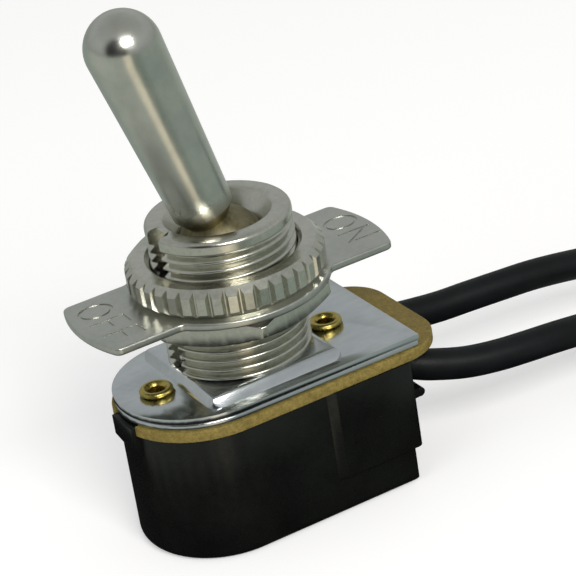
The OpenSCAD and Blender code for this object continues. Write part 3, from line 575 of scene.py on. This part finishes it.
# Radius, in mm, of the rounding that tumbling, pressing or moulding leaves on a piece's edges
ROUNDED = {"case": 0.25, "fibre_plate": 0.12, "under_plate": 0.12, "frame_plate": 0.18, "hex_nut": 0.09,
           "rivet_off_end": 0.06, "rivet_wire_end": 0.06}
for node, radius in ROUNDED.items():
    piece = NODES[node]
    piece.data.shade_smooth()
    weld = piece.modifiers.new("weld", "WELD")
    weld.merge_threshold = 2e-6
    bevel = piece.modifiers.new("edges", "BEVEL")
    bevel.width, bevel.segments, bevel.limit_method = radius * MM, 3, "ANGLE"
    bevel.angle_limit = math.radians(28)
    bevel.use_clamp_overlap = True
    bevel.harden_normals = True


# ---------------------------------------------------------------- floor and light

class Stage:
    """Shader nodes of the floor or the world, which look different to the camera and in reflections"""

    def __init__(self, tree):
        self.tree = tree
        tree.nodes.clear()

    def node(self, kind, **sockets):
        n = self.tree.nodes.new(kind)
        for key, value in sockets.items():
            n.inputs[key.replace("_", " ")].default_value = value
        return n

    def link(self, a, b):
        self.tree.links.new(a, b)

    def ramp(self, source, stops):
        n = self.node("ShaderNodeValToRGB")
        n.color_ramp.interpolation = "EASE"
        while len(n.color_ramp.elements) < len(stops):
            n.color_ramp.elements.new(0.5)
        for element, (place, colour) in zip(n.color_ramp.elements, stops):
            element.position, element.color = place, (*colour, 1)
        self.link(source, n.inputs["Fac"])
        return n.outputs["Color"]

    def pick(self, ray, otherwise, then):
        """One shader for rays of the kind that Light Path calls ray, another for all the rest"""
        path = self.node("ShaderNodeLightPath")
        n = self.node("ShaderNodeMixShader")
        self.link(path.outputs[ray], n.inputs[0])
        self.link(otherwise, n.inputs[1])
        self.link(then, n.inputs[2])
        return n.outputs[0]


PAPER, PAPER_LIFT = (0.72, 0.72, 0.715), 0.38  # the floor's colour, and what the camera sees on top of its light
NEAR_FROM, NEAR_TO, NEAR_SHARE = 0.030, 0.040, 0.04  # metres round the switch where the mirrored floor darkens
PATCH_FROM, PATCH_TO, PATCH_COLOUR = 0.80, 0.89, (0.02, 0.02, 0.022)  # the sky's dark patch


def make_floor():
    mesh = bpy.data.meshes.new("floor")
    mesh.from_pydata([(-3, -3, 0), (3, -3, 0), (3, 3, 0), (-3, 3, 0)], [], [[0, 1, 2, 3]])
    obj = bpy.data.objects.new("floor", mesh)
    bpy.context.scene.collection.objects.link(obj)
    mat = bpy.data.materials.new("floor")
    mat.use_nodes = True
    t = Stage(mat.node_tree)
    out = t.node("ShaderNodeOutputMaterial")
    paper = t.node("ShaderNodeBsdfDiffuse", Color=(*PAPER, 1))
    lift = t.node("ShaderNodeEmission", Color=(1, 1, 1, 1), Strength=PAPER_LIFT)
    lit = t.node("ShaderNodeAddShader")
    t.link(paper.outputs[0], lit.inputs[0])
    t.link(lift.outputs[0], lit.inputs[1])
    # reflections see the floor as a dim sweep with one warm, bright sector in front
    coord = t.node("ShaderNodeTexCoord")
    split = t.node("ShaderNodeSeparateXYZ")
    t.link(coord.outputs["Object"], split.inputs[0])
    bearing = t.node("ShaderNodeMath")
    bearing.operation = "ARCTAN2"
    t.link(split.outputs["X"], bearing.inputs[0])
    t.link(split.outputs["Y"], bearing.inputs[1])
    share = t.node("ShaderNodeMapRange", From_Min=-math.pi, From_Max=math.pi)
    t.link(bearing.outputs[0], share.inputs["Value"])
    sweep = t.ramp(share.outputs["Result"], FLOOR_SWEEP)
    mirror = t.node("ShaderNodeEmission", Strength=1)
    t.link(sweep, mirror.inputs["Color"])
    away = t.node("ShaderNodeVectorMath")
    away.operation = "LENGTH"
    t.link(coord.outputs["Object"], away.inputs[0])
    near = t.node("ShaderNodeMapRange", From_Min=NEAR_FROM, From_Max=NEAR_TO, To_Min=NEAR_SHARE, To_Max=1)
    t.link(away.outputs["Value"], near.inputs["Value"])
    t.link(near.outputs["Result"], mirror.inputs["Strength"])
    seen = t.pick("Is Camera Ray", paper.outputs[0], lit.outputs[0])
    t.link(t.pick("Is Glossy Ray", seen, mirror.outputs[0]), out.inputs["Surface"])
    mesh.materials.append(mat)


def lamp(name, place, aim, size, power, colour=(1, 1, 1)):
    data = bpy.data.lights.new(name, "AREA")
    data.shape = "RECTANGLE"
    data.size, data.size_y = size
    data.energy = power
    data.color = colour
    obj = bpy.data.objects.new(name, data)
    obj.location = place
    obj.rotation_euler = (Vector(aim) - Vector(place)).to_track_quat("-Z", "Y").to_euler()
    obj.visible_camera = False
    bpy.context.scene.collection.objects.link(obj)
    return obj


def make_world():
    world = bpy.data.worlds.new("studio")
    bpy.context.scene.world = world
    world.use_nodes = True
    t = Stage(world.node_tree)
    out = t.node("ShaderNodeOutputWorld")
    coord = t.node("ShaderNodeTexCoord")
    split = t.node("ShaderNodeSeparateXYZ")
    t.link(coord.outputs["Generated"], split.inputs[0])
    soft = t.node("ShaderNodeBackground")
    toward = t.node("ShaderNodeVectorMath")
    toward.operation = "DOT_PRODUCT"
    t.link(coord.outputs["Generated"], toward.inputs[0])
    toward.inputs[1].default_value = STAND
    patch = t.node("ShaderNodeMapRange", From_Min=PATCH_FROM, From_Max=PATCH_TO)
    t.link(toward.outputs["Value"], patch.inputs["Value"])
    shade = t.node("ShaderNodeMix")
    shade.data_type = "RGBA"
    t.link(patch.outputs["Result"], shade.inputs["Factor"])
    colours = [socket for socket in shade.inputs if socket.type == "RGBA"]
    t.link(t.ramp(split.outputs["Z"], SKY_SWEEP), colours[0])
    colours[1].default_value = (*PATCH_COLOUR, 1)
    t.link([socket for socket in shade.outputs if socket.type == "RGBA"][0], soft.inputs["Color"])
    even = t.node("ShaderNodeBackground", Color=(0.5, 0.5, 0.5, 1))
    seen = t.node("ShaderNodeBackground", Color=(1, 1, 1, 1))
    rest = t.pick("Is Glossy Ray", even.outputs[0], soft.outputs[0])
    t.link(t.pick("Is Camera Ray", rest, seen.outputs[0]), out.inputs["Surface"])


# Bearings round the switch as shares of a turn from -Y through -X, +Y and +X; heights from level to overhead
WARM, PALE, DUSK, DIM = (1.0, 0.92, 0.74), (0.46, 0.49, 0.45), (0.24, 0.28, 0.25), (0.33, 0.38, 0.35)
FLOOR_SWEEP = [(0.0, DUSK), (0.012, DUSK), (0.030, WARM), (0.060, WARM), (0.095, PALE), (0.30, PALE),
               (0.45, DIM), (0.60, PALE), (0.80, DIM), (0.93, DIM), (0.98, DUSK), (1.0, DUSK)]
SKY_SWEEP = [(0.0, (0.34, 0.35, 0.34)), (0.25, (0.42, 0.44, 0.43)), (0.45, (0.46, 0.48, 0.48)),
             (0.7, (0.40, 0.42, 0.41)), (1.0, (0.36, 0.37, 0.36))]
STAND = (-0.677, -0.682, 0.276)  # bearing of the sky's one dark patch, which the lever's tip shows
make_floor()
make_world()
lamp("key", (-0.06, -0.44, 0.37), (0, 0, 0.02), (0.24, 0.16), 2.0, (1, 0.98, 0.95))
lamp("fill", (-0.5, -0.2, 0.30), (0, 0, 0.02), (0.30, 0.30), 0.7, (0.95, 0.98, 1)).visible_glossy = False

scene = bpy.context.scene
scene.view_settings.view_transform = "Standard"

bpy.context.view_layer.update()
